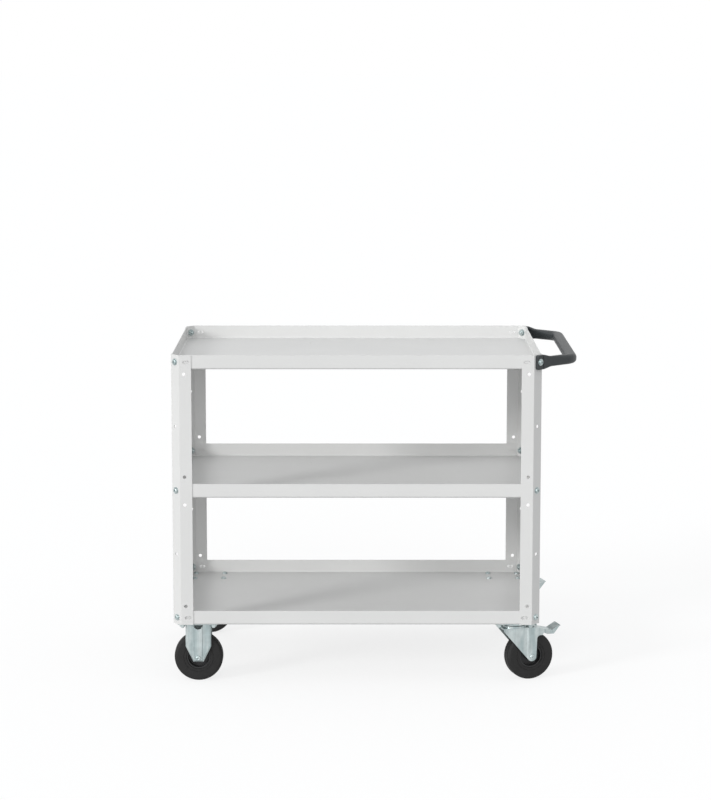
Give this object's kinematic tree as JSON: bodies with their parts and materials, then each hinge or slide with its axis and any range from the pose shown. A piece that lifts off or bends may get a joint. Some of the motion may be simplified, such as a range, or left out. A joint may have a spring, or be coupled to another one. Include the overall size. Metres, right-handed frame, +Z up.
{
  "type": "tool cart",
  "caption": "Three-tray steel tool cart with chamfered angle posts, a side push handle, fixed casters at one end and braked swivel casters at the other.",
  "frame": {"origin": "on the floor, under the middle of the whole cart's box, push handle included", "axes": "+X toward the push handle along the trays' length, +Y toward the rear, +Z up"},
  "size_m": [1.032, 0.6048, 0.852],
  "materials": {
    "paint": "fine satin powder coat",
    "handle_plastic": "matt, fine grain",
    "zinc": "bright zinc plate",
    "tyre_rubber": "matt rubber",
    "rim_plastic": "matt",
    "cage_plastic": "matt",
    "bearing_steel": "polished",
    "shoe_rubber": "matt"
  },
  "bodies": {
    "root": {"post_front_left": "paint", "post_front_right": "paint", "post_rear_left": "paint", "post_rear_right": "paint", "tray_bottom": "paint", "tray_middle": "paint", "tray_top": "paint", "corner_bolts": "zinc", "corner_nuts": "zinc", "handle_bolts": "zinc", "caster_bolts": "zinc", "caster_nuts": "zinc", "push_handle": "handle_plastic", "fixed_bracket_front_left": "zinc", "axle_sleeve_front_left": "zinc", "axle_bolt_front_left": "zinc", "axle_nut_front_left": "zinc", "swivel_plate_front_right": "zinc", "kingpin_front_right": "zinc", "fixed_bracket_rear_left": "zinc", "axle_sleeve_rear_left": "zinc", "axle_bolt_rear_left": "zinc", "axle_nut_rear_left": "zinc", "swivel_plate_rear_right": "zinc", "kingpin_rear_right": "zinc"},
    "wheel_front_left": {"tyre_front_left": "tyre_rubber", "rim_front_left": "rim_plastic", "bearing_cage_front_left": "cage_plastic", "bearing_rollers_front_left": "bearing_steel"},
    "swivel_front_right": {"fork_front_right": "zinc", "swivel_balls_front_right": "bearing_steel", "pedal_pin_front_right": "zinc", "brake_spring_front_right": "zinc", "axle_sleeve_front_right": "zinc", "axle_bolt_front_right": "zinc", "axle_nut_front_right": "zinc"},
    "brake_front_right": {"brake_pedal_front_right": "zinc", "brake_shoe_front_right": "shoe_rubber"},
    "wheel_front_right": {"tyre_front_right": "tyre_rubber", "rim_front_right": "rim_plastic", "bearing_cage_front_right": "cage_plastic", "bearing_rollers_front_right": "bearing_steel"},
    "wheel_rear_left": {"tyre_rear_left": "tyre_rubber", "rim_rear_left": "rim_plastic", "bearing_cage_rear_left": "cage_plastic", "bearing_rollers_rear_left": "bearing_steel"},
    "swivel_rear_right": {"fork_rear_right": "zinc", "swivel_balls_rear_right": "bearing_steel", "pedal_pin_rear_right": "zinc", "brake_spring_rear_right": "zinc", "axle_sleeve_rear_right": "zinc", "axle_bolt_rear_right": "zinc", "axle_nut_rear_right": "zinc"},
    "brake_rear_right": {"brake_pedal_rear_right": "zinc", "brake_shoe_rear_right": "shoe_rubber"},
    "wheel_rear_right": {"tyre_rear_right": "tyre_rubber", "rim_rear_right": "rim_plastic", "bearing_cage_rear_right": "cage_plastic", "bearing_rollers_rear_right": "bearing_steel"}
  },
  "joints": [
    {"name": "wheel_front_left_spin", "type": "hinge", "parent": "root", "child": "wheel_front_left", "pos_m": [-0.4535, -0.2475, 0.0625], "axis": [0, 1, 0], "continuous": true},
    {"name": "swivel_front_right_turn", "type": "hinge", "parent": "root", "child": "swivel_front_right", "pos_m": [0.3595, -0.2475, 0.15], "axis": [0, 0, 1], "continuous": true},
    {"name": "wheel_front_right_spin", "type": "hinge", "parent": "swivel_front_right", "child": "wheel_front_right", "pos_m": [0.39775, -0.23581, 0.0625], "axis": [-0.2924, 0.9563, 0], "continuous": true},
    {"name": "brake_front_right_press", "type": "hinge", "parent": "swivel_front_right", "child": "brake_front_right", "pos_m": [0.40732, -0.23288, 0.133], "axis": [-0.2924, 0.9563, 0], "range_deg": [0, 10]},
    {"name": "wheel_rear_left_spin", "type": "hinge", "parent": "root", "child": "wheel_rear_left", "pos_m": [-0.4535, 0.2475, 0.0625], "axis": [0, 1, 0], "continuous": true},
    {"name": "swivel_rear_right_turn", "type": "hinge", "parent": "root", "child": "swivel_rear_right", "pos_m": [0.3595, 0.2475, 0.15], "axis": [0, 0, 1], "continuous": true},
    {"name": "wheel_rear_right_spin", "type": "hinge", "parent": "swivel_rear_right", "child": "wheel_rear_right", "pos_m": [0.39775, 0.25919, 0.0625], "axis": [-0.2924, 0.9563, 0], "continuous": true},
    {"name": "brake_rear_right_press", "type": "hinge", "parent": "swivel_rear_right", "child": "brake_rear_right", "pos_m": [0.40732, 0.26212, 0.133], "axis": [-0.2924, 0.9563, 0], "range_deg": [0, 10]}
  ]
}
